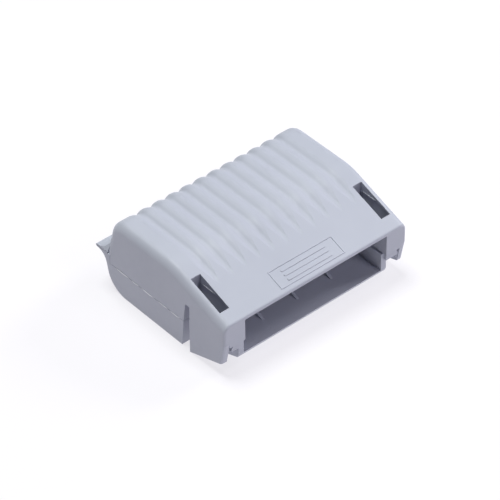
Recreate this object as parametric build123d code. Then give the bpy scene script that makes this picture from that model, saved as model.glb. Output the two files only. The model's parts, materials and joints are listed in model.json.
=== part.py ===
from build123d import *
import math
import os

# A gel-filled clamshell box for lever wire connectors, closed, with two three-way connectors in it.
# Millimetres. X runs across the box, Y from the cable mouth (low) to the film hinge (high), Z up.
# The sizes below measure Y from the mouth's front face; place() then centres the box on the origin.

# ---- overall ----
WIDTH = 52.4
DEPTH = 43.35
HEIGHT = 20.8

# ---- shell walls ----
SIDE_WALL = 1.4
ROOF_WALL = 1.2
LIP_WALL = 0.75            # roof over the mouth, measured upright
FLOOR_WALL = 1.2
REAR_WALL = 1.6
PARTING_Z = 7.65           # height of the seam along the sides
SEAM_GAP = 0.1

# ---- cover profile ----
MOUTH_TOP_Z = 14.6
SLOPE_DEG = 19.4
BREAK_RADIUS = 15.0
DOME_RADIUS = 4.5
REAR_DRAFT_DEG = 15.0
SHOULDER_RADIUS = 2.0      # long rounded edges between roof and sides
FRONT_ROUND = 0.6
TRANSITION_Y = 13.1        # back wall of the latch pockets

# ---- base profile ----
FRONT_INSET = 1.1
FRONT_UNDERSIDE_Z = 2.65
FRONT_UNDERCUT = 0.35
PORCH_Z = 3.5
PORCH_END = 10.5
RAMP_END = 8.3
REAR_FOOT_INSET = 4.6      # from the hinge edge to the foot of the rear wall
REAR_FOOT_RADIUS = 5.6
BASE_DRAFT = 0.35
MOUTH_HALF = 19.9
MOUTH_WALL = 1.5

# ---- rear flange and film hinge ----
HINGE_Z = 10.2
FILM_RADIUS = 0.4
FILM_THICK = 0.3
FLANGE_REACH = 2.75        # overhang of the flange past the rear wall
FLANGE_FILLET = 3.0
TAIL_HEIGHT = 2.6          # how far the flange's fillet climbs the rear wall
TAIL_TAPER = 1.8

# ---- latches ----
LATCH_SKIN = 1.5
LATCH_CREASE_Z = 9.3
LATCH_TIP_Z = 3.7
LATCH_HEEL_Z = 0.1
PILLAR_WALL = 1.1
PILLAR_Z = 8.2             # bottom of the pillars beside the mouth
POCKET_CEILING_Z = 16.6    # underside of the solid block that the roof slots pass through
COVER_MOUTH_HALF = 20.4
COVER_INNER_WALL = 1.2
SLOT_FRONT = 3.4
SLOT_MARGIN = 0.25
SLIT_FRONT = 11.45
SLIT_WIDTH = 1.33
SLIT_TOP = 13.05
SLIT_FLARE = 0.144         # how much the slit widens rearward per mm of drop
EAR_REACH = 2.6
EAR_THICK = 1.6
EAR_LENGTH = 9.6
EAR_FRONT = 0.3
EAR_ROUND = 1.2
HOOK_REACH = 0.5
HOOK_HEIGHT = 1.7
HOOK_LENGTH = 7.0
HOOK_DROP = 0.25           # play between the hook and the ear above it

# ---- grooves, lane ribs and the blank panel ----
GROOVES = 11
GROOVE_PITCH = 3.94
GROOVE_DEPTH = 0.5
GROOVE_VALLEY_SHARE = 0.35  # of each flank that curves up before it curves over the crest
GROOVE_FADE_Y = 8.4        # where the grooves run out on the slope
GROOVE_FADE_LENGTH = 5.4
GROOVE_FADE_RADIUS = 30.0
GROOVE_REAR_Z = 14.2       # where they run out on the rear wall
GROOVE_REAR_LENGTH = 1.7
GROOVE_REAR_RADIUS = 4.0
GROOVE_EXIT = 0.08         # how far the cutters stand off the surface at both ends
CREST_RISE = 0.01          # how far the cutters' flanks pass the surface, which leaves flat crests
LANE_RIBS = 3
LANE_RIB_PITCH = 10.0
LANE_RIB_THICK = 0.7
LANE_RIB_START = 6.1
LANE_RIB_RUN = 2.25
LANE_RIB_HEIGHT = 1.0
PANEL_WIDTH = 18.2
PANEL_START = 1.1
PANEL_LENGTH = 5.0
PANEL_LINE = 0.2
PANEL_RAISE = 0.12
PANEL_BARS = 3
PANEL_BAR_SHARE = 0.7      # length of a bar against the panel's width

# ---- gel ----
GEL_GAP = 0.05
GEL_LEVEL = 6.4
GEL_FRONT_LEVEL = 3.3
GEL_ROOF_THICK = 7.5
GEL_FRONT_Y = 17.0
GEL_SIDE_GAP = 0.8

# ---- three-way lever connectors ----
CONNECTORS = 2
PORTS = 3
PORT_PITCH = 5.6
SEPARATOR = 0.6
CONNECTOR_WIDTH = 18.9
CONNECTOR_DEPTH = 18.6
CONNECTOR_HEIGHT = 8.4
CONNECTOR_GAP = 0.6
CONNECTOR_SETBACK = 0.15   # behind the inner face of the front wall
CONNECTOR_Z = 3.3
HOUSING_WALL = 0.8
CAP_THICK = 1.0
BORE_RADIUS = 2.1
BORE_Z = 3.3
BORE_LENGTH = 2.6
PIVOT_Y = 11.4
PIVOT_Z = 5.3
PIN_RADIUS = 0.9
PIN_CLEAR = 0.05
PIN_LENGTH = 0.25
LEVER_SIDE_GAP = 0.1
LEVER_PLATE = 1.2
LEVER_CHEEK = 0.7
LEVER_HUB = 1.7
LEVER_TIP_GAP = 0.8
LEVER_SWEEP_GAP = 0.25
GRIP_GROOVES = 3
GRIP_PITCH = 0.9
GRIP_RADIUS = 0.25
BUSBAR_THICK = 0.5
BUSBAR_Y = 7.8
BUSBAR_DEPTH = 8.0
CROSSBAR_DEPTH = 1.4
CROSSBAR_Z = 4.2
CROSSBAR_GAP = 0.1
SPRING_BEND = 0.8
SPRING_THICK = 0.3
SPRING_GAP = 0.2           # between a spring's edge and the lever's cheek
SUPPORT_RIB = 1.2
SUPPORT_INSET = 0.2        # of the connector's depth

HALF = WIDTH / 2
SLOPE = math.tan(math.radians(SLOPE_DEG))
REAR_LEAN = math.tan(math.radians(REAR_DRAFT_DEG))
HINGE_Y = DEPTH - FILM_RADIUS
REAR_Y = HINGE_Y - FLANGE_REACH                     # rear wall's outer face at the hinge height
BREAK_Y = (HEIGHT - MOUTH_TOP_Z) / SLOPE
DOME_Y = REAR_Y - (HEIGHT - HINGE_Z) * REAR_LEAN
INNER_ROOF_Z = HEIGHT - ROOF_WALL
INNER_REAR_Y = REAR_Y - REAR_WALL
NOTCH_Y = INNER_REAR_Y - SEAM_GAP / 2
POCKET_INNER = COVER_MOUTH_HALF + COVER_INNER_WALL
POCKET_OUTER = HALF - LATCH_SKIN
BASE_FOOT_Y = DEPTH - REAR_FOOT_INSET
BASE_FRONT_HALF = MOUTH_HALF + MOUTH_WALL
EAR_Z = PILLAR_Z - SEAM_GAP
CELL_WIDTH = PORT_PITCH - SEPARATOR
SPRING_WIDTH = CELL_WIDTH - 2 * (LEVER_SIDE_GAP + LEVER_CHEEK + SPRING_GAP)
CHAMBER_FRONT_Y = SLIT_FRONT + SLIT_WIDTH + SLIT_TOP * SLIT_FLARE + SIDE_WALL
CONNECTOR_Y = CHAMBER_FRONT_Y + CONNECTOR_SETBACK
SUPPORT_HALF = CONNECTORS * CONNECTOR_WIDTH / 2
REACH = 100.0                                       # longer than the box, for cutting tools
PAST = 1.0                                          # how far a cutting tool passes a surface
NEAR = 0.001                                        # tolerance for picking edges by their place


def slab(points, x_low, x_high, radii=None):
    """A solid between two X planes whose side view is the (y, z) outline, with rounded corners."""
    outline = FilletPolyline(*points, radius=radii or [0] * len(points), close=True)
    return extrude(Plane.YZ.offset(x_low) * make_face(outline), x_high - x_low)


def block(x, y, z):
    """A box from three (low, high) ranges."""
    size = [high - low for low, high in (x, y, z)]
    centre = [(high + low) / 2 for low, high in (x, y, z)]
    return Pos(*centre) * Box(*size)


def mirrored(shape):
    """The shape and its reflection on the other side of the box."""
    return [shape, mirror(shape, about=Plane.YZ)]


def slit_rear_y(z):
    """The slit's rear edge, which is the front edge of the full-width part of the base."""
    return SLIT_FRONT + SLIT_WIDTH + (SLIT_TOP - z) * SLIT_FLARE


def rear_wall_y(z):
    """The outer face of the cover's leaning rear wall."""
    return REAR_Y - (z - HINGE_Z) * REAR_LEAN


def place(shape):
    return Pos(0, -DEPTH / 2, 0) * shape


# ---- cover ----

def cover_outline(bottom_z):
    """Outer side view of the cover without its flange, and the radius at each corner."""
    points = [
        (0, bottom_z), (0, MOUTH_TOP_Z), (BREAK_Y, HEIGHT), (DOME_Y, HEIGHT),
        (rear_wall_y(bottom_z), bottom_z),
    ]
    return points, [0, 0, BREAK_RADIUS, DOME_RADIUS, 0]


def cover_envelope():
    """The closed cover as one solid block: sloping roof, rear dome and rounded shoulders."""
    seam = HINGE_Z + SEAM_GAP / 2
    points, radii = cover_outline(seam)
    body = slab(points, -HALF, HALF, radii)
    edges = body.edges().filter_by(lambda e: abs(abs(e.center().X) - HALF) < NEAR)
    shoulders = [e for e in edges if e.center().Z > seam + NEAR and e.center().Y > NEAR]
    body = fillet(shoulders, SHOULDER_RADIUS)
    front = body.faces().sort_by(Axis.Y)[0]
    body = fillet([e for e in front.edges() if e.center().Z > seam + NEAR], FRONT_ROUND)
    return body


def cover_skirt():
    """The cover's sides below the hinge height, down to the seam, the pillars and the latch tips."""
    seam = HINGE_Z + SEAM_GAP / 2
    skirt = block((-HALF, HALF), (0, NOTCH_Y), (PARTING_Z + SEAM_GAP / 2, seam))
    front = skirt.faces().sort_by(Axis.Y)[0]
    return fillet(front.edges().filter_by(Axis.Z), FRONT_ROUND)


def latch_skins():
    """The two springy flaps at the front corners, hooked inside, below the seam."""
    heel_y = SLIT_FRONT + SLIT_FLARE
    fall = (LATCH_TIP_Z - LATCH_HEEL_Z) / (heel_y - FRONT_INSET)
    points = [
        (-PAST, LATCH_CREASE_Z), (-PAST, LATCH_TIP_Z + (FRONT_INSET + PAST) * fall), (heel_y, LATCH_HEEL_Z),
        (heel_y, LATCH_CREASE_Z),
    ]
    plan = FilletPolyline(
        (POCKET_OUTER, 0), (HALF, 0), (HALF, REACH), (POCKET_OUTER, REACH),
        radius=[0, FRONT_ROUND, 0, 0], close=True,
    )
    lean = Vector(0, FRONT_INSET, LATCH_TIP_Z - LATCH_CREASE_Z)
    face = Plane.XY.offset(LATCH_CREASE_Z) * make_face(plan)
    rounded = extrude(face, 2 * lean.length, dir=lean.normalized())
    skin = slab(points, POCKET_OUTER, HALF) & rounded
    hook_top = EAR_Z - EAR_THICK - HOOK_DROP
    profile = Polyline(
        (POCKET_OUTER, hook_top), (POCKET_OUTER - HOOK_REACH, hook_top - HOOK_REACH),
        (POCKET_OUTER, hook_top - HOOK_HEIGHT), close=True,
    )
    hook = extrude(Plane.XZ.offset(-FRONT_INSET - HOOK_LENGTH) * make_face(profile), HOOK_LENGTH)
    return mirrored(skin + hook)


def roof_outline(drop, bottom_z):
    """Side view of the space under the roof, lowered by drop, and the radius at each corner."""
    break_y = (INNER_ROOF_Z - MOUTH_TOP_Z + LIP_WALL) / SLOPE
    points = [
        (-PAST, MOUTH_TOP_Z - LIP_WALL - PAST * SLOPE - drop), (break_y, INNER_ROOF_Z - drop),
        (DOME_Y - ROOF_WALL, INNER_ROOF_Z - drop), (NOTCH_Y - drop, HINGE_Z), (NOTCH_Y + PAST, HINGE_Z),
        (NOTCH_Y + PAST, bottom_z), (-PAST, bottom_z),
    ]
    return points, [0, BREAK_RADIUS, DOME_RADIUS - ROOF_WALL, 0, 0, 0, 0]


def cover_cavities():
    """Everything hollow in the cover: gel chamber, mouth, latch pockets, roof slots and slits."""
    below = -REACH
    chamber_y = TRANSITION_Y + COVER_INNER_WALL
    points, radii = roof_outline(0, below)
    mouth = slab(points, -COVER_MOUTH_HALF, COVER_MOUTH_HALF, radii)
    chamber = slab(points, -HALF + SIDE_WALL, HALF - SIDE_WALL, radii)
    chamber &= block((-HALF, HALF), (chamber_y, REACH), (below, HEIGHT))
    cavities = [mouth, chamber]
    pocket = slab(
        [
            (PILLAR_WALL, below), (PILLAR_WALL, MOUTH_TOP_Z - LIP_WALL + PILLAR_WALL * SLOPE),
            ((POCKET_CEILING_Z - MOUTH_TOP_Z + LIP_WALL) / SLOPE, POCKET_CEILING_Z),
            (TRANSITION_Y, POCKET_CEILING_Z), (TRANSITION_Y, below),
        ],
        POCKET_INNER, POCKET_OUTER,
    )
    slot = block(
        (POCKET_INNER + SLOT_MARGIN, POCKET_OUTER - SLOT_MARGIN), (SLOT_FRONT, TRANSITION_Y - SLOT_MARGIN),
        (PARTING_Z, HEIGHT + PAST),
    )
    slit = slab(
        [
            (SLIT_FRONT, SLIT_TOP), (SLIT_FRONT + SLIT_WIDTH, SLIT_TOP), (slit_rear_y(0), 0),
            (SLIT_FRONT, 0),
        ],
        POCKET_OUTER, HALF + PAST,
    )
    foot = block((-POCKET_OUTER, POCKET_OUTER), (-PAST, TRANSITION_Y), (below, PILLAR_Z))
    flap_space = block((POCKET_OUTER, HALF + PAST), (-PAST, SLIT_FRONT), (below, LATCH_CREASE_Z))
    for shape in (pocket, slot, slit, flap_space):
        cavities += mirrored(shape)
    return cavities + [foot]


def groove_tools():
    """Cutters for the scalloped grooves that run over the dome and the roof and fade on the slope."""
    low_z = HEIGHT - GROOVE_DEPTH
    slope_drop = GROOVE_DEPTH / math.cos(math.radians(SLOPE_DEG))
    rear_drop = GROOVE_DEPTH / math.cos(math.radians(REAR_DRAFT_DEG))
    front_turn_y = GROOVE_FADE_Y + GROOVE_FADE_LENGTH
    rear_turn_z = GROOVE_REAR_Z + GROOVE_REAR_LENGTH
    path = FilletPolyline(
        (rear_wall_y(GROOVE_REAR_Z) + GROOVE_EXIT, GROOVE_REAR_Z),
        (rear_wall_y(rear_turn_z) - rear_drop, rear_turn_z),
        (rear_wall_y(low_z) - rear_drop, low_z),
        (BREAK_Y + (slope_drop - GROOVE_DEPTH) / SLOPE, low_z),
        (front_turn_y, MOUTH_TOP_Z + front_turn_y * SLOPE - slope_drop),
        (GROOVE_FADE_Y, MOUTH_TOP_Z + GROOVE_FADE_Y * SLOPE + GROOVE_EXIT),
        radius=[
            GROOVE_REAR_RADIUS, DOME_RADIUS - GROOVE_DEPTH, BREAK_RADIUS - GROOVE_DEPTH, GROOVE_FADE_RADIUS,
        ],
    )
    path = Plane.YZ * path
    half = GROOVE_PITCH / 2
    rise = GROOVE_DEPTH + CREST_RISE
    bend = (half * GROOVE_VALLEY_SHARE, rise * GROOVE_VALLEY_SHARE)
    valley = TangentArc((0, 0), bend, tangent=(1, 0))
    crest = TangentArc(bend, (half, rise), tangent=valley % 1)
    flank = Curve() + [valley, crest]
    other = mirror(flank, about=Plane.YZ)
    top = Polyline((half, rise), (half, rise + PAST), (-half, rise + PAST), (-half, rise))
    section = make_face(Curve() + [flank, top, other])
    start = Plane(origin=path @ 0, x_dir=(1, 0, 0), z_dir=path % 0)
    tool = sweep(start * section, path=path)
    first = -(GROOVES - 1) / 2
    return [Pos((first + i) * GROOVE_PITCH, 0, 0) * tool for i in range(GROOVES)]


def cover_tail():
    """The flange behind the cover, with the hollow curve that joins it to the rear wall."""
    low, top = HINGE_Z + SEAM_GAP / 2, HINGE_Z + FILM_RADIUS
    high = top + TAIL_HEIGHT
    inner_y = NOTCH_Y + REAR_WALL / 2
    tail = slab(
        [
            (inner_y, low), (HINGE_Y, low), (HINGE_Y, top), (rear_wall_y(top), top),
            (rear_wall_y(high), high), (inner_y, high),
        ],
        -HALF, HALF, [0, 0, 0, FLANGE_FILLET, 0, 0],
    )
    front_view = Polyline(
        (-HALF, low), (-HALF, top), (-HALF + TAIL_TAPER, high), (HALF - TAIL_TAPER, high), (HALF, top),
        (HALF, low), close=True,
    )
    return tail & extrude(Plane.XZ.offset(-REACH) * make_face(front_view), REACH)


def lane_ribs():
    """Low ribs on the porch that part the mouth into lanes for the cables."""
    root = PORCH_Z - FLOOR_WALL / 2
    top = PORCH_Z + LANE_RIB_HEIGHT
    rear = PORCH_END + FLOOR_WALL
    rib = slab(
        [
            (LANE_RIB_START, root), (LANE_RIB_START, PORCH_Z), (LANE_RIB_START + LANE_RIB_RUN, top),
            (rear, top), (rear, root),
        ],
        -LANE_RIB_THICK / 2, LANE_RIB_THICK / 2,
    )
    first = -(LANE_RIBS - 1) / 2
    return [Pos((first + i) * LANE_RIB_PITCH, 0, 0) * rib for i in range(LANE_RIBS)]


def blank_panel():
    """A thin raised frame with plain bars on the slope, where a maker would put a mark."""
    slope_plane = Plane(
        origin=(0, PANEL_START, MOUTH_TOP_Z + PANEL_START * SLOPE), x_dir=(1, 0, 0),
        z_dir=(0, -math.sin(math.radians(SLOPE_DEG)), math.cos(math.radians(SLOPE_DEG))),
    )
    middle = Pos(0, PANEL_LENGTH / 2)
    outer = middle * Rectangle(PANEL_WIDTH, PANEL_LENGTH)
    inner = middle * Rectangle(PANEL_WIDTH - 2 * PANEL_LINE, PANEL_LENGTH - 2 * PANEL_LINE)
    sketch = outer - inner
    bar_pitch = PANEL_LENGTH / (PANEL_BARS + 1)
    for i in range(PANEL_BARS):
        sketch += Pos(0, (i + 1) * bar_pitch) * SlotOverall(PANEL_WIDTH * PANEL_BAR_SHARE, bar_pitch / 2)
    return extrude(slope_plane.offset(-PANEL_RAISE) * sketch, 2 * PANEL_RAISE)


def make_cover():
    cover = cover_envelope() + cover_skirt() + cover_tail()
    for cavity in cover_cavities():
        cover -= cavity
    for tool in groove_tools():
        cover -= tool
    for extra in latch_skins() + [blank_panel()]:
        cover += extra
    return cover


# ---- base ----

def base_rear_inner_y(z):
    """The inside of the base's rear wall at a height above its foot."""
    foot_y = BASE_FOOT_Y - FLOOR_WALL
    return foot_y + (INNER_REAR_Y - foot_y) * (z - FLOOR_WALL) / (PARTING_Z - FLOOR_WALL)


def support_ribs():
    """Front and rear Y of the two ribs across the floor that carry the connectors."""
    inset = CONNECTOR_DEPTH * SUPPORT_INSET
    front = CONNECTOR_Y + inset
    rear = CONNECTOR_Y + CONNECTOR_DEPTH - inset
    return [(y - SUPPORT_RIB / 2, y + SUPPORT_RIB / 2) for y in (front, rear)]


def make_base():
    top = PARTING_Z - SEAM_GAP / 2
    flange_top = HINGE_Z - SEAM_GAP / 2
    flange_low = HINGE_Z - FILM_RADIUS
    rear_top_y = NOTCH_Y + SEAM_GAP
    rear = slab(
        [
            (slit_rear_y(0), 0), (BASE_FOOT_Y, 0), (REAR_Y, flange_low), (HINGE_Y, flange_low),
            (HINGE_Y, flange_top), (rear_top_y, flange_top), (rear_top_y, top), (slit_rear_y(top), top),
        ],
        -HALF, HALF, [0, REAR_FOOT_RADIUS, FLANGE_FILLET, 0, 0, 0, 0, 0],
    )
    draft = Polyline(
        (-HALF, flange_top), (-HALF, PARTING_Z), (-HALF + BASE_DRAFT, 0), (HALF - BASE_DRAFT, 0),
        (HALF, PARTING_Z), (HALF, flange_top), close=True,
    )
    rear &= extrude(Plane.XZ.offset(-REACH) * make_face(draft), 2 * REACH)
    front = slab(
        [
            (FRONT_INSET + FRONT_UNDERCUT, FRONT_UNDERSIDE_Z), (RAMP_END, 0), (CHAMBER_FRONT_Y, 0),
            (CHAMBER_FRONT_Y, top), (TRANSITION_Y - SEAM_GAP, top), (TRANSITION_Y - SEAM_GAP, EAR_Z),
            (FRONT_INSET, EAR_Z), (FRONT_INSET, PORCH_Z),
        ],
        -BASE_FRONT_HALF, BASE_FRONT_HALF,
    )
    base = rear + front
    base -= slab(
        [
            (CHAMBER_FRONT_Y, FLOOR_WALL), (base_rear_inner_y(FLOOR_WALL), FLOOR_WALL),
            (INNER_REAR_Y, PARTING_Z), (INNER_REAR_Y, REACH), (CHAMBER_FRONT_Y, REACH),
        ],
        -HALF + SIDE_WALL, HALF - SIDE_WALL, [0, REAR_FOOT_RADIUS - FLOOR_WALL, 0, 0, 0],
    )
    base -= block(
        (-MOUTH_HALF, MOUTH_HALF), (PORCH_END + FLOOR_WALL, CHAMBER_FRONT_Y + PAST), (FLOOR_WALL, REACH),
    )
    base -= block((-MOUTH_HALF, MOUTH_HALF), (-PAST, PORCH_END + FLOOR_WALL + PAST), (PORCH_Z, REACH))
    ear = block(
        (MOUTH_HALF + MOUTH_WALL / 2, BASE_FRONT_HALF + EAR_REACH), (EAR_FRONT, EAR_FRONT + EAR_LENGTH),
        (EAR_Z - EAR_THICK, EAR_Z),
    )
    outer_top = [e for e in ear.edges().filter_by(Axis.Y) if e.center().X > BASE_FRONT_HALF + PAST]
    ear = fillet(sorted(outer_top, key=lambda e: e.center().Z)[-1], EAR_ROUND)
    for side in mirrored(ear):
        base += side
    for rib in lane_ribs():
        base += rib
    for low_y, high_y in support_ribs():
        base += block((-SUPPORT_HALF, SUPPORT_HALF), (low_y, high_y), (FLOOR_WALL / 2, CONNECTOR_Z))
    return base


def make_film():
    """The thin web that joins the two flanges and bends when the box opens."""
    ring = Circle(FILM_RADIUS) - Circle(FILM_RADIUS - FILM_THICK)
    half_ring = ring & Pos(FILM_RADIUS, 0) * Rectangle(2 * FILM_RADIUS, 4 * FILM_RADIUS)
    return extrude(Plane.YZ.offset(-HALF) * Pos(HINGE_Y, HINGE_Z) * half_ring, WIDTH)


# ---- gel ----

def connector_origins():
    """The left, front, bottom corner of each connector."""
    pitch = CONNECTOR_WIDTH + CONNECTOR_GAP
    first = -(CONNECTORS - 1) / 2 * pitch - CONNECTOR_WIDTH / 2
    return [(first + i * pitch, CONNECTOR_Y, CONNECTOR_Z) for i in range(CONNECTORS)]


def make_base_gel():
    low = FLOOR_WALL + GEL_GAP
    wide = HALF - SIDE_WALL - GEL_GAP
    gel = slab(
        [
            (CHAMBER_FRONT_Y + GEL_GAP, low), (BASE_FOOT_Y - FLOOR_WALL - GEL_GAP, low),
            (base_rear_inner_y(GEL_LEVEL) - GEL_GAP, GEL_LEVEL), (CHAMBER_FRONT_Y + GEL_GAP, GEL_LEVEL),
        ],
        -wide, wide, [0, REAR_FOOT_RADIUS - FLOOR_WALL + GEL_GAP, 0, 0],
    )
    gel += block(
        (-MOUTH_HALF + GEL_GAP, MOUTH_HALF - GEL_GAP),
        (PORCH_END + FLOOR_WALL + GEL_GAP, CHAMBER_FRONT_Y + PAST), (low, GEL_FRONT_LEVEL),
    )
    for x, y, z in connector_origins():
        sides = (x - GEL_GAP, x + CONNECTOR_WIDTH + GEL_GAP)
        rear = y + CONNECTOR_DEPTH + GEL_GAP
        gel -= block(sides, (CHAMBER_FRONT_Y - PAST, rear), (GEL_FRONT_LEVEL, REACH))
        gel -= block(sides, (y - GEL_GAP, rear), (z - GEL_GAP, REACH))
    for low_y, high_y in support_ribs():
        gel -= block(
            (-SUPPORT_HALF - GEL_GAP, SUPPORT_HALF + GEL_GAP), (low_y - GEL_GAP, high_y + GEL_GAP),
            (0, CONNECTOR_Z),
        )
    return gel


def make_cover_gel():
    """The pad of gel that fills the cover, clear of the walls and level underneath."""
    low = INNER_ROOF_Z - GEL_ROOF_THICK
    wide = HALF - SIDE_WALL - GEL_SIDE_GAP
    rear_y = NOTCH_Y - GEL_SIDE_GAP
    points, radii = roof_outline(GEL_GAP, low)
    pad = slab(points, -wide, wide, radii) & block((-HALF, HALF), (GEL_FRONT_Y, rear_y), (low, HEIGHT))
    rim = pad.faces().sort_by(Axis.Z)[0].edges()
    return fillet(rim, GEL_SIDE_GAP)


# ---- connector pieces, each in the connector's own frame ----

def port_centres():
    middle = CONNECTOR_WIDTH / 2
    return [middle + (i - (PORTS - 1) / 2) * PORT_PITCH for i in range(PORTS)]


def make_housing():
    housing = block((0, CONNECTOR_WIDTH), (0, CONNECTOR_DEPTH - CAP_THICK), (0, CONNECTOR_HEIGHT))
    rim = [e for e in housing.edges() if e.center().Y < NEAR]
    housing = fillet(rim, HOUSING_WALL / 2)
    slot_low = CONNECTOR_HEIGHT - LEVER_PLATE - LEVER_SWEEP_GAP
    slot_rear = PIVOT_Y + math.hypot(LEVER_HUB, CONNECTOR_HEIGHT - PIVOT_Z) + LEVER_SWEEP_GAP
    for x in port_centres():
        sides = (x - CELL_WIDTH / 2, x + CELL_WIDTH / 2)
        inside_z = (HOUSING_WALL, CONNECTOR_HEIGHT - HOUSING_WALL)
        housing -= block(sides, (BORE_LENGTH, CONNECTOR_DEPTH), inside_z)
        housing -= block(sides, (-PAST, slot_rear), (slot_low, REACH))
        bore = Cylinder(BORE_RADIUS, 2 * (BORE_LENGTH + PAST), rotation=(90, 0, 0))
        housing -= Pos(x, 0, BORE_Z) * bore
        funnel = Cone(BORE_RADIUS, BORE_RADIUS + HOUSING_WALL / 2, HOUSING_WALL / 2, rotation=(90, 0, 0))
        housing -= Pos(x, HOUSING_WALL / 4, BORE_Z) * funnel
        hole_half = CELL_WIDTH / 2 + PIN_LENGTH + PIN_CLEAR
        hole = Cylinder(PIN_RADIUS + PIN_CLEAR, 2 * hole_half, rotation=(0, 90, 0))
        housing -= Pos(x, PIVOT_Y, PIVOT_Z) * hole
    crossbar_front = BUSBAR_Y + BUSBAR_DEPTH - CROSSBAR_DEPTH - CROSSBAR_GAP
    housing -= block(
        (port_centres()[0], port_centres()[-1]), (crossbar_front, CONNECTOR_DEPTH),
        (HOUSING_WALL, CROSSBAR_Z + CROSSBAR_GAP),
    )
    return housing


def make_cap():
    """The plate that closes the connector's rear, with a plug that fits each cell."""
    rear = CONNECTOR_DEPTH
    cap = block((0, CONNECTOR_WIDTH), (rear - CAP_THICK, rear), (0, CONNECTOR_HEIGHT))
    inset = HOUSING_WALL + PIN_CLEAR
    for x in port_centres():
        half = CELL_WIDTH / 2 - PIN_CLEAR
        cap += block((x - half, x + half), (rear - 2 * CAP_THICK, rear), (inset, CONNECTOR_HEIGHT - inset))
    return cap


def make_busbar():
    """The tinned copper bar under the springs: a tongue in each cell and a crossbar bent up behind."""
    low, high = HOUSING_WALL, HOUSING_WALL + BUSBAR_THICK
    half = SPRING_WIDTH / 2
    first, last = port_centres()[0] - half, port_centres()[-1] + half
    rear = BUSBAR_Y + BUSBAR_DEPTH
    bar = block((first, last), (rear - CROSSBAR_DEPTH, rear), (low, high))
    bar += block((first, last), (rear - BUSBAR_THICK, rear), (low, CROSSBAR_Z))
    for x in port_centres():
        bar += block((x - half, x + half), (BUSBAR_Y, rear), (low, high))
    return bar


def make_spring(x):
    """The bent leaf that presses a wire onto the busbar in one cell."""
    seat = HOUSING_WALL + BUSBAR_THICK + SPRING_THICK / 2
    rear = BUSBAR_Y + BUSBAR_DEPTH - CROSSBAR_DEPTH
    path = Plane.YZ * FilletPolyline(
        (BUSBAR_Y + SPRING_BEND, seat), (rear, seat), (rear, PIVOT_Z - LEVER_HUB),
        (PIVOT_Y, PIVOT_Z), (BUSBAR_Y, seat + SPRING_THICK), radius=SPRING_BEND,
    )
    start = Plane(origin=path @ 0, x_dir=(1, 0, 0), z_dir=path % 0)
    leaf = sweep(start * Rectangle(SPRING_WIDTH, SPRING_THICK), path=path)
    return Pos(x, 0, 0) * leaf


def make_lever(x):
    """A lever lying closed: finger plate, two cheeks beside the spring, and two short pivot pins."""
    half = CELL_WIDTH / 2 - LEVER_SIDE_GAP
    plate_low = CONNECTOR_HEIGHT - LEVER_PLATE
    plate_rear = PIVOT_Y + PIN_RADIUS
    lever = block((-half, half), (LEVER_TIP_GAP, plate_rear), (plate_low, CONNECTOR_HEIGHT))
    tip = lever.edges().filter_by(Axis.X).sort_by(Axis.Y)[:2]
    lever = fillet(tip, LEVER_PLATE / 3)
    cheek = slab(
        [
            (PIVOT_Y - 2 * LEVER_HUB, plate_low), (plate_rear, plate_low), (PIVOT_Y + LEVER_HUB, PIVOT_Z),
            (PIVOT_Y - LEVER_HUB, PIVOT_Z),
        ],
        half - LEVER_CHEEK, half,
    )
    hub = Cylinder(LEVER_HUB, LEVER_CHEEK, rotation=(0, 90, 0))
    hub = Pos(half - LEVER_CHEEK / 2, PIVOT_Y, PIVOT_Z) * hub
    pin_length = LEVER_SIDE_GAP + PIN_LENGTH
    pin = Cylinder(PIN_RADIUS, pin_length, rotation=(0, 90, 0))
    pin = Pos(half + pin_length / 2, PIVOT_Y, PIVOT_Z) * pin
    for shape in mirrored(cheek + hub + pin):
        lever += shape
    for i in range(GRIP_GROOVES):
        y = LEVER_TIP_GAP + (i + 1) * GRIP_PITCH
        lever -= Pos(0, y, CONNECTOR_HEIGHT) * Cylinder(GRIP_RADIUS, REACH, rotation=(0, 90, 0))
    return Pos(x, 0, 0) * lever


os.makedirs("parts", exist_ok=True)


def save(name, shape):
    solids = shape.solids()
    assert len(solids) == 1, f"{name} has {len(solids)} solids"
    export_step(place(solids[0]), f"parts/{name}.step")


base_shell = make_base()
save("base_shell", base_shell)
save("cover_shell", make_cover())
save("hinge_film", make_film())
save("base_gel", make_base_gel())
save("cover_gel", make_cover_gel())
for side, corner in zip(("left", "right"), connector_origins()):
    move = Pos(*corner)
    save(f"{side}_housing", move * make_housing())
    save(f"{side}_end_cap", move * make_cap())
    save(f"{side}_busbar", move * make_busbar())
    for number, centre in enumerate(port_centres(), start=1):
        save(f"{side}_spring_{number}", move * make_spring(centre))
        save(f"{side}_lever_{number}", move * make_lever(centre))
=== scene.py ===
import json
import math

import bpy
from mathutils import Matrix, Vector, noise


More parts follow.
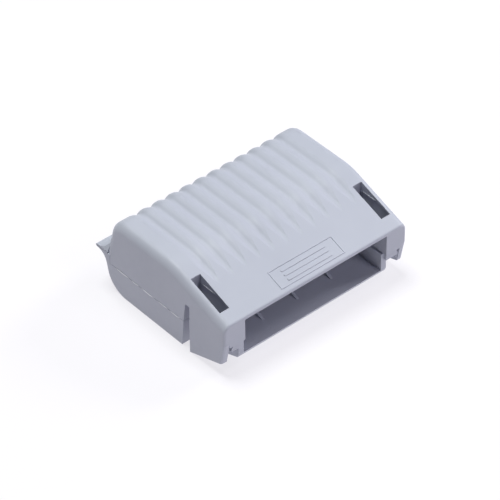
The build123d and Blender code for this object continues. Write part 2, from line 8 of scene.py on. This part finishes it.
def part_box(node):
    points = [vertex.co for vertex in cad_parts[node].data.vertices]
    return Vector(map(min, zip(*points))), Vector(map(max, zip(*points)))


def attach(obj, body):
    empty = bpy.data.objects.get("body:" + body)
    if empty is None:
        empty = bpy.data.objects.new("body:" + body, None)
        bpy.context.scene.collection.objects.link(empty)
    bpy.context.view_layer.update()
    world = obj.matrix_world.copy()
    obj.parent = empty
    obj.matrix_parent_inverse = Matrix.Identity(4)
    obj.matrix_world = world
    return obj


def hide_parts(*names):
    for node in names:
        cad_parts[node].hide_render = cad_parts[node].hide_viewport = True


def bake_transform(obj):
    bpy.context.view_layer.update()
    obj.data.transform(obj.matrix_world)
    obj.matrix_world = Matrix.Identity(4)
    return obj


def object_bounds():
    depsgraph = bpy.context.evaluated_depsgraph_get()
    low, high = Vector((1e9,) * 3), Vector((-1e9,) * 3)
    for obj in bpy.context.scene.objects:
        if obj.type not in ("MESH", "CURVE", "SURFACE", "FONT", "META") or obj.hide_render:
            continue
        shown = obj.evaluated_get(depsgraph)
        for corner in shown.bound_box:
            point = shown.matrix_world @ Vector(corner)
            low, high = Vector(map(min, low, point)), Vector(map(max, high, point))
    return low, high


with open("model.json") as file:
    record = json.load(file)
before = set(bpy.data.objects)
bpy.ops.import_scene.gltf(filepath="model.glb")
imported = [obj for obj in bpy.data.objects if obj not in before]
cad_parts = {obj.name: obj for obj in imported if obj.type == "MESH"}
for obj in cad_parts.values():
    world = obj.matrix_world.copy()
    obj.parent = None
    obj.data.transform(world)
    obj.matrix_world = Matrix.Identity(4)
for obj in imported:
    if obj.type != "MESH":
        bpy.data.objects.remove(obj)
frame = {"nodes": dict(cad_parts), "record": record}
cad_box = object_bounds()
MM = 0.001

# ---- camera: the viewing direction, distance and focal length of the reference view ----
VIEW_AZIMUTH = 40.48       # degrees towards -X from straight on the cable mouth
VIEW_ELEVATION = 40.94     # degrees above the floor
VIEW_ROLL = -0.61          # degrees
VIEW_DISTANCE = 639.8 * MM
FOCAL_IN_FRAMES = 5.824    # focal length as a multiple of the picture's width
SENSOR = 36.0              # the camera gives its sensor and lens in millimetres
CLIP_NEAR = 10 * MM
CLIP_FAR = 20
TARGET = Vector((-0.557, -0.263, 8.0)) * MM

# ---- light and floor ----
SOFTBOXES = [              # name, place, width and height, watts, colour; each one faces the origin
    ("softbox_top", (-0.05, 0.2, 0.9), (0.4, 0.4), 7.6, (0.955, 1.0, 0.95)),
    ("softbox_side", (0.62, -0.12, 0.42), (0.25, 0.25), 2.5, (0.97, 0.97, 1.0)),
    ("softbox_front", (0.12, -0.55, 0.52), (0.25, 0.2), 1.1, (0.93, 0.90, 1.0)),
]
WORLD_COLOUR = (0.95, 0.96, 1.0, 1)
WORLD_STRENGTH = 0.05
FLOOR_SIZE = 6
FLOOR_DROP = 0.02 * MM     # keeps the floor off the box's underside
FLOOR_LIGHT = (0.27, 0.26, 0.28)
FLOOR_DARK = (0.25, 0.24, 0.26)
FLOOR_GLOW_COLOUR = (0.98, 0.97, 1.0, 1)
FLOOR_GLOW = 0.71

# ---- moulded edges ----
EDGE_ROUNDS = {"shell": 0.12 * MM, "housing": 0.08 * MM, "end_cap": 0.1 * MM, "lever": 0.12 * MM}
EDGE_SEGMENTS = 2
EDGE_ANGLE = math.radians(38)

# ---- gel ----
GEL_MESH = 0.6 * MM
GEL_ROUNDING = 4           # smoothing passes over the rims
GEL_WAVE = 0.22 * MM       # deepest hollow in the gel's surface
GEL_WAVE_SCALE = 260       # waves per metre
GEL_WAVE_FADE = 0.8        # how fast the finer waves lose height
GEL_WAVE_STEP = 2.0        # each layer of waves is this much finer than the last
GEL_WAVE_LAYERS = 3

# ---- flash: thin broken slivers along the side seams and the lower rims of the roof slots, coloured far paler than the shell as a painted highlight ----
FLASH_REACH = 0.1 * MM
FLASH_PROFILE = [(0, 0), (0.33, 1), (0.7, 0.8), (1, 0)]  # share of the run, share of the full size
SEAM_Z = 7.65 * MM
SEAM_WANDER = 0.04 * MM    # how far the sliver strays from the seam
WANDER_SCALE = 3000        # strays per metre
SEAM_RUNS = [              # along Y: start, end, height
    (-7.0 * MM, -3.6 * MM, 0.3 * MM), (-2.9 * MM, 0.4 * MM, 0.2 * MM), (1.6 * MM, 6.2 * MM, 0.36 * MM),
    (6.9 * MM, 9.4 * MM, 0.24 * MM), (10.2 * MM, 15.0 * MM, 0.32 * MM),
]
SLOT_Z = 16.65 * MM
SLOT_RIMS = [("inner", 21.85 * MM, 1), ("outer", 24.45 * MM, -1)]  # name, distance from the middle, facing
SLOT_RUNS = [(-13.8 * MM, -8.9 * MM, 0.22 * MM)]


def link_object(name, data):
    """A new object in the scene with this mesh, light or camera."""
    item = bpy.data.objects.new(name, data)
    bpy.context.collection.objects.link(item)
    return item


def make_camera():
    azimuth, elevation, roll = (math.radians(v) for v in (VIEW_AZIMUTH, VIEW_ELEVATION, VIEW_ROLL))
    back = Vector((-math.sin(azimuth) * math.cos(elevation), -math.cos(azimuth) * math.cos(elevation),
                   math.sin(elevation)))
    right = Vector((math.cos(azimuth), -math.sin(azimuth), 0))
    up = back.cross(right).normalized()
    turned_right = math.cos(roll) * right + math.sin(roll) * up
    turned_up = math.cos(roll) * up - math.sin(roll) * right
    data = bpy.data.cameras.new("camera")
    data.sensor_width = SENSOR
    data.lens = FOCAL_IN_FRAMES * SENSOR
    data.clip_start = CLIP_NEAR
    data.clip_end = CLIP_FAR
    camera = link_object("camera", data)
    rotation = Matrix((turned_right, turned_up, back)).transposed().to_4x4()
    camera.matrix_world = Matrix.Translation(TARGET + VIEW_DISTANCE * back) @ rotation
    bpy.context.scene.camera = camera


def make_studio():
    for name, place, size, power, colour in SOFTBOXES:
        data = bpy.data.lights.new(name, "AREA")
        data.shape = "RECTANGLE"
        data.size, data.size_y = size
        data.energy = power
        data.color = colour
        light = link_object(name, data)
        light.location = place
        light.rotation_euler = (-Vector(place)).to_track_quat("-Z", "Y").to_euler()
    world = bpy.data.worlds.new("studio")
    world.use_nodes = True
    background = world.node_tree.nodes["Background"]
    background.inputs["Color"].default_value = WORLD_COLOUR
    background.inputs["Strength"].default_value = WORLD_STRENGTH
    bpy.context.scene.world = world
    bpy.context.scene.view_settings.view_transform = "Standard"


# ---- materials: noise scales are in waves per metre, and bump depths in metres ----

class Shader:
    """A small helper that adds and wires nodes in one material."""

    NOISE_LOW = 0.3        # noise seldom leaves this range, which is stretched to the wanted one
    NOISE_HIGH = 0.7

    def __init__(self, name):
        self.material = bpy.data.materials.new(name)
        self.material.use_nodes = True
        self.tree = self.material.node_tree
        self.main = self.tree.nodes["Principled BSDF"]
        self.coordinates = self.add("ShaderNodeTexCoord").outputs["Object"]
        self.normal = None

    def add(self, kind):
        return self.tree.nodes.new(kind)

    def link(self, source, target):
        self.tree.links.new(source, target)

    def noise(self, scale, detail, stretch=(1, 1, 1)):
        mapping = self.add("ShaderNodeMapping")
        mapping.inputs["Scale"].default_value = stretch
        self.link(self.coordinates, mapping.inputs["Vector"])
        texture = self.add("ShaderNodeTexNoise")
        texture.inputs["Scale"].default_value = scale
        texture.inputs["Detail"].default_value = detail
        self.link(mapping.outputs["Vector"], texture.inputs["Vector"])
        return texture.outputs["Fac"]

    def ramp(self, value, low, high):
        ramp = self.add("ShaderNodeMapRange")
        ramp.inputs["From Min"].default_value = self.NOISE_LOW
        ramp.inputs["From Max"].default_value = self.NOISE_HIGH
        ramp.inputs["To Min"].default_value = low
        ramp.inputs["To Max"].default_value = high
        self.link(value, ramp.inputs["Value"])
        return ramp.outputs["Result"]

    def colour(self, value, first, second):
        share = self.ramp(value, 0, 1)
        mix = self.add("ShaderNodeMix")
        mix.data_type = "RGBA"
        mix.inputs["A"].default_value = (*first, 1)
        mix.inputs["B"].default_value = (*second, 1)
        self.link(share, mix.inputs["Factor"])
        self.link(mix.outputs["Result"], self.main.inputs["Base Color"])

    def roughness(self, value, low, high):
        self.link(self.ramp(value, low, high), self.main.inputs["Roughness"])

    def bumps(self, value, depth):
        """One more layer of bumps over those that are there."""
        bump = self.add("ShaderNodeBump")
        bump.inputs["Strength"].default_value = 1.0
        bump.inputs["Distance"].default_value = depth
        self.link(value, bump.inputs["Height"])
        if self.normal:
            self.link(self.normal, bump.inputs["Normal"])
        self.normal = bump.outputs["Normal"]
        self.link(self.normal, self.main.inputs["Normal"])

    def set(self, values):
        """Values that are the same all over the surface."""
        for socket, value in values.items():
            self.main.inputs[socket].default_value = value


def shaded(colour, share):
    return tuple(c * share for c in colour)


def moulded_plastic(name, light, dark, low=0.42, high=0.56):
    """Slightly cloudy satin plastic: a fine grain, and under it the shallow waves of a moulding."""
    s = Shader(name)
    s.colour(s.noise(scale=60, detail=4), dark, light)
    s.roughness(s.noise(scale=900, detail=3), low, high)
    s.bumps(s.noise(scale=5200, detail=2), depth=0.006 * MM)
    s.bumps(s.noise(scale=240, detail=2), depth=0.02 * MM)
    s.set({"Specular IOR Level": 0.35, "IOR": 1.49})
    return s.material


def clear_plastic(name, colour):
    s = Shader(name)
    s.colour(s.noise(scale=120, detail=2), colour, shaded(colour, 0.96))
    s.roughness(s.noise(scale=700, detail=3), low=0.10, high=0.22)
    s.bumps(s.noise(scale=500, detail=2), depth=0.01 * MM)
    s.set({"Transmission Weight": 0.85, "IOR": 1.58})
    return s.material


def soft_gel(name, colour):
    s = Shader(name)
    s.colour(s.noise(scale=150, detail=4), colour, shaded(colour, 0.9))
    s.roughness(s.noise(scale=300, detail=3), low=0.12, high=0.3)
    s.bumps(s.noise(scale=260, detail=3), depth=0.12 * MM)
    s.set({"Transmission Weight": 0.6, "IOR": 1.41, "Subsurface Weight": 0.2, "Subsurface Scale": 2 * MM})
    return s.material


def metal(name, light, dark, low, high, stretch):
    """Bare metal with the streaks of its rolling: stretch packs the noise more closely across them."""
    s = Shader(name)
    s.colour(s.noise(scale=400, detail=4, stretch=stretch), dark, light)
    s.roughness(s.noise(scale=1500, detail=3, stretch=stretch), low, high)
    s.bumps(s.noise(scale=2500, detail=2, stretch=stretch), depth=0.004 * MM)
    s.set({"Metallic": 1.0})
    return s.material


# The flash ridges are real moulding flash, but their near-white colour, far paler than the shell, is a
# painted highlight along the seams and slot rims.
PAINTED_HIGHLIGHT_FLASH = moulded_plastic("flash_painted_highlight", (0.86, 0.87, 0.92), (0.78, 0.79, 0.85), 0.3, 0.45)
FINISHES = {
    "shell": moulded_plastic("shell_plastic", (0.475, 0.49, 0.575), (0.445, 0.46, 0.545)),
    "film": moulded_plastic("film_plastic", (0.50, 0.515, 0.60), (0.47, 0.485, 0.57), 0.35, 0.5),
    "end_cap": moulded_plastic("end_cap_plastic", (0.24, 0.25, 0.27), (0.20, 0.21, 0.23)),
    "lever": moulded_plastic("lever_plastic", (0.85, 0.24, 0.02), (0.78, 0.20, 0.015), 0.25, 0.4),
    "housing": clear_plastic("clear_housing", (0.92, 0.95, 0.96)),
    "gel": soft_gel("soft_gel", (0.62, 0.80, 0.95)),
    "busbar": metal("tinned_copper", (0.86, 0.80, 0.74), (0.74, 0.66, 0.58), 0.22, 0.4, (1, 4, 1)),
    "spring": metal("spring_steel", (0.72, 0.73, 0.75), (0.55, 0.56, 0.58), 0.18, 0.35, (6, 1, 1)),
}


def paint(piece, material):
    piece.data.materials.clear()
    piece.data.materials.append(material)


# ---- pieces ----

def finish_nodes():
    """Each CAD node's material, and a small round on every hard edge of the moulded ones."""
    for part in frame["record"]["subparts"]:
        node = frame["nodes"][part["node"]]
        paint(node, FINISHES[part["material_slot"]])
        width = EDGE_ROUNDS.get(part["material_slot"])
        if width:
            bevel = node.modifiers.new("edge_round", "BEVEL")
            bevel.width = width
            bevel.segments = EDGE_SEGMENTS
            bevel.limit_method = "ANGLE"
            bevel.angle_limit = EDGE_ANGLE
            bevel.harden_normals = True
            bevel.use_clamp_overlap = True


def copy_node(node, name):
    """A new object with the same mesh as a CAD node."""
    return link_object(name, frame["nodes"][node].data.copy())


def apply_modifiers(piece):
    depsgraph = bpy.context.evaluated_depsgraph_get()
    mesh = bpy.data.meshes.new_from_object(piece.evaluated_get(depsgraph))
    piece.modifiers.clear()
    piece.data = mesh


def make_gel(node, body, seed):
    """The gel as a soft mass: evenly meshed, rounded at its rims and slightly wavy, inside the CAD solid."""
    piece = copy_node(node, node + "_soft")
    remesh = piece.modifiers.new("even", "REMESH")
    remesh.mode = "VOXEL"
    remesh.voxel_size = GEL_MESH
    smooth = piece.modifiers.new("round", "CORRECTIVE_SMOOTH")
    smooth.iterations = GEL_ROUNDING
    smooth.use_only_smooth = True
    apply_modifiers(piece)
    places = [v.co.copy() for v in piece.data.vertices]
    normals = [v.normal.copy() for v in piece.data.vertices]
    for vertex, place, normal in zip(piece.data.vertices, places, normals):
        spot = place * GEL_WAVE_SCALE + Vector((seed, 0, 0))
        height = noise.fractal(spot, GEL_WAVE_FADE, GEL_WAVE_STEP, GEL_WAVE_LAYERS)
        vertex.co = place - normal * GEL_WAVE * (0.5 + 0.5 * height)
    piece.data.shade_smooth()
    paint(piece, FINISHES["gel"])
    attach(piece, body)
    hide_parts(node)


def make_film():
    """The web at the rear edge, which on the box bends round as the cover opens; here it is a fixed copy of
    the CAD node with its transform baked in.
    """
    piece = copy_node("hinge_film", "hinge_film_web")
    paint(piece, FINISHES["film"])
    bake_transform(piece)
    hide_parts("hinge_film")


def make_sliver(name, body, runs, x, z, facing, wander=0.0):
    """A thin broken ridge along Y, three-sided, which stands out from x towards +X or -X, in the pale flash
    colour that is a painted highlight.
    """
    out = Vector((facing, 0, 0))
    up = Vector((0, 0, 1))
    vertices, faces = [], []
    for start, end, tall in runs:
        first = len(vertices)
        for share, reach in FLASH_PROFILE:
            y = start + share * (end - start)
            stray = wander * noise.noise(Vector((y * WANDER_SCALE, facing, 0)))
            root = Vector((x, y, z + stray))
            middle = root + out * FLASH_REACH * reach
            half_height = up * tall / 2 * reach
            vertices += [root - out * FLASH_REACH, middle + half_height, middle - half_height]
        for i in range(first, len(vertices) - 3, 3):
            faces += [(i, i + 3, i + 4, i + 1), (i + 1, i + 4, i + 5, i + 2), (i + 2, i + 5, i + 3, i)]
    mesh = bpy.data.meshes.new(name)
    mesh.from_pydata([tuple(v) for v in vertices], [], faces)
    piece = link_object(name, mesh)
    paint(piece, PAINTED_HIGHLIGHT_FLASH)
    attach(piece, body)


def make_flash():
    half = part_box("base_shell")[1][0]
    for side, sign in (("left", -1), ("right", 1)):
        make_sliver(f"{side}_seam_flash_painted_highlight", "base", SEAM_RUNS, sign * half, SEAM_Z, sign, SEAM_WANDER)
        for rim, x, facing in SLOT_RIMS:
            make_sliver(f"{side}_{rim}_slot_flash", "cover", SLOT_RUNS, sign * x, SLOT_Z, sign * facing)


def make_floor():
    bpy.ops.mesh.primitive_plane_add(size=FLOOR_SIZE, location=(0, 0, cad_box[0][2] - FLOOR_DROP))
    floor = bpy.context.object
    floor.name = "floor"
    s = Shader("floor_paper")
    s.colour(s.noise(scale=3, detail=3), FLOOR_DARK, FLOOR_LIGHT)
    s.roughness(s.noise(scale=8, detail=2), low=0.8, high=0.9)
    s.set({"Emission Color": FLOOR_GLOW_COLOUR, "Emission Strength": FLOOR_GLOW})
    paint(floor, s.material)


make_camera()
make_studio()
make_floor()
finish_nodes()
make_gel("base_gel", "base", seed=3)
make_gel("cover_gel", "cover", seed=8)
make_film()
make_flash()
